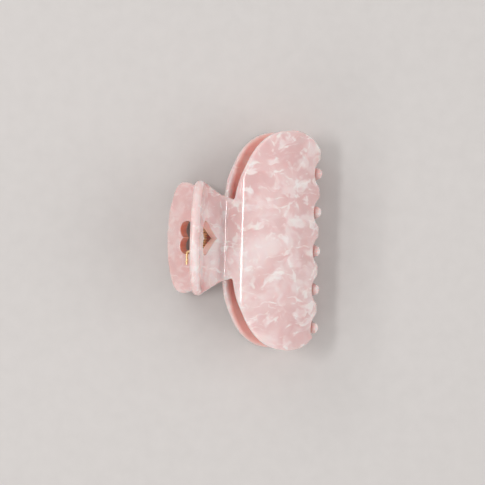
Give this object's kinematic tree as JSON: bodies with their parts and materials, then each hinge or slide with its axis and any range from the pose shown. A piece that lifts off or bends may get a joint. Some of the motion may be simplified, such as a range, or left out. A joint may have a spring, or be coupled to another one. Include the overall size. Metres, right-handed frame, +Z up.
{
  "type": "claw clip",
  "caption": "Hair claw clip of bent pearly sheet: two equal toothed jaws with heart-cut finger tabs on a sprung hinge pin, closed and lying on its side.",
  "frame": {"origin": "bottom centre of the clip's bounding box, lying on its side on a table", "axes": "+Y along the hinge pin, +X from the finger tabs to the teeth, +Z up"},
  "size_m": [0.0608, 0.0848, 0.0437],
  "materials": {
    "pearl_acetate": "polished pearly pink marbled acetate",
    "gold_wire": "gold-plated steel wire and pin"
  },
  "bodies": {
    "lower_half": {"lower_jaw": "pearl_acetate", "lower_inner_lug": "pearl_acetate", "lower_outer_lug": "pearl_acetate", "hinge_pin": "gold_wire", "pin_cap": "gold_wire", "torsion_spring": "gold_wire"},
    "upper_half": {"upper_jaw": "pearl_acetate", "upper_inner_lug": "pearl_acetate", "upper_outer_lug": "pearl_acetate"}
  },
  "joints": [
    {"name": "jaw_hinge", "type": "hinge", "parent": "lower_half", "child": "upper_half", "pos_m": [-0.01674, 0, 0.02051], "axis": [0, -1, 0], "range_deg": [0, 65], "stiffness_Nm_per_rad": 0.25, "springref_deg": -45.84, "deforming": ["torsion_spring"]}
  ]
}
